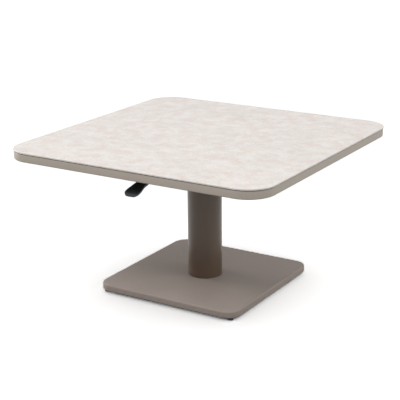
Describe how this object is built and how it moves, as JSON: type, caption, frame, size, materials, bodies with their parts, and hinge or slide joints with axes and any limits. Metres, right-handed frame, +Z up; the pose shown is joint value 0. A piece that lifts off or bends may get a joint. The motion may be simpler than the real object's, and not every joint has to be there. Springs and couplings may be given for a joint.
{
  "type": "telescoping pedestal table",
  "caption": "Low square table with a thin stone-look top on a gas-lift telescoping column and a flat weighted base, raised by a hand lever under the top.",
  "frame": {"origin": "on the floor at the axis of the column, under the centre of the table top", "axes": "+Z up along the column; the hand lever is on the -Y side; +X to the right of someone facing that side"},
  "size_m": [0.9, 0.9, 0.4955],
  "materials": {
    "top_sheet": "matte",
    "core_panel": "raw",
    "edge_profile": "satin powder coat",
    "base_cover": "satin powder coat",
    "outer_column": "satin powder coat",
    "inner_column": "anodised",
    "guide_plastic": "moulded",
    "base_plate": "primer black",
    "black_steel": "satin powder coat",
    "cast_head": "die cast",
    "lever_plastic": "moulded",
    "cylinder_paint": "gloss",
    "zinc_steel": "zinc plated",
    "rod_chrome": "polished",
    "glide_plastic": "moulded"
  },
  "bodies": {
    "base": {"base_plate": "base_plate", "base_cover": "base_cover", "cover_standoffs": "zinc_steel", "column_flange": "black_steel", "flange_screws": "zinc_steel", "glide_nuts": "zinc_steel", "outer_column": "outer_column", "upper_guide_bush": "guide_plastic", "bush_screws": "zinc_steel", "gas_spring_cylinder": "cylinder_paint", "gas_spring_gland": "zinc_steel", "gas_spring_nut": "zinc_steel"},
    "lift_top": {"inner_column": "inner_column", "lower_guide_ring": "guide_plastic", "clamp_screws": "zinc_steel", "gas_spring_rod": "rod_chrome", "gas_spring_piston": "guide_plastic", "rod_locknut": "zinc_steel", "release_head": "cast_head", "head_screws": "zinc_steel", "lever_pivot_pin": "zinc_steel", "mounting_plate": "black_steel", "crossbar_left": "black_steel", "crossbar_right": "black_steel", "bar_screws": "zinc_steel", "perimeter_frame": "edge_profile", "support_panel": "core_panel", "panel_screws": "zinc_steel", "top_sheet": "top_sheet"},
    "hand_lever": {"release_arm": "black_steel", "lever_paddle": "lever_plastic", "paddle_pins": "zinc_steel"},
    "valve_pin": {"release_pin": "zinc_steel"},
    "glide_front_left": {"glide_pad_front_left": "glide_plastic", "glide_stud_front_left": "zinc_steel"},
    "glide_front_right": {"glide_pad_front_right": "glide_plastic", "glide_stud_front_right": "zinc_steel"},
    "glide_rear_left": {"glide_pad_rear_left": "glide_plastic", "glide_stud_rear_left": "zinc_steel"},
    "glide_rear_right": {"glide_pad_rear_right": "glide_plastic", "glide_stud_rear_right": "zinc_steel"}
  },
  "joints": [
    {"name": "column_lift", "type": "slide", "parent": "base", "child": "lift_top", "axis": [0, 0, 1], "range_m": [0, 0.22]},
    {"name": "lever_pull", "type": "hinge", "parent": "lift_top", "child": "hand_lever", "pos_m": [0, -0.036, 0.454], "axis": [-1, 0, 0], "range_deg": [0, 4.5], "stiffness_Nm_per_rad": 12, "springref_deg": -4.58},
    {"name": "valve_press", "type": "slide", "parent": "lift_top", "child": "valve_pin", "axis": [0, 0, -1], "range_m": [0, 0.003]},
    {"name": "level_front_left", "type": "slide", "parent": "base", "child": "glide_front_left", "axis": [0, 0, -1], "range_m": [0, 0.01]},
    {"name": "level_front_right", "type": "slide", "parent": "base", "child": "glide_front_right", "axis": [0, 0, -1], "range_m": [0, 0.01]},
    {"name": "level_rear_left", "type": "slide", "parent": "base", "child": "glide_rear_left", "axis": [0, 0, -1], "range_m": [0, 0.01]},
    {"name": "level_rear_right", "type": "slide", "parent": "base", "child": "glide_rear_right", "axis": [0, 0, -1], "range_m": [0, 0.01]}
  ],
  "couplings": [
    {"joint": "valve_press", "follows": "lever_pull", "m_per_rad": 0.036}
  ]
}
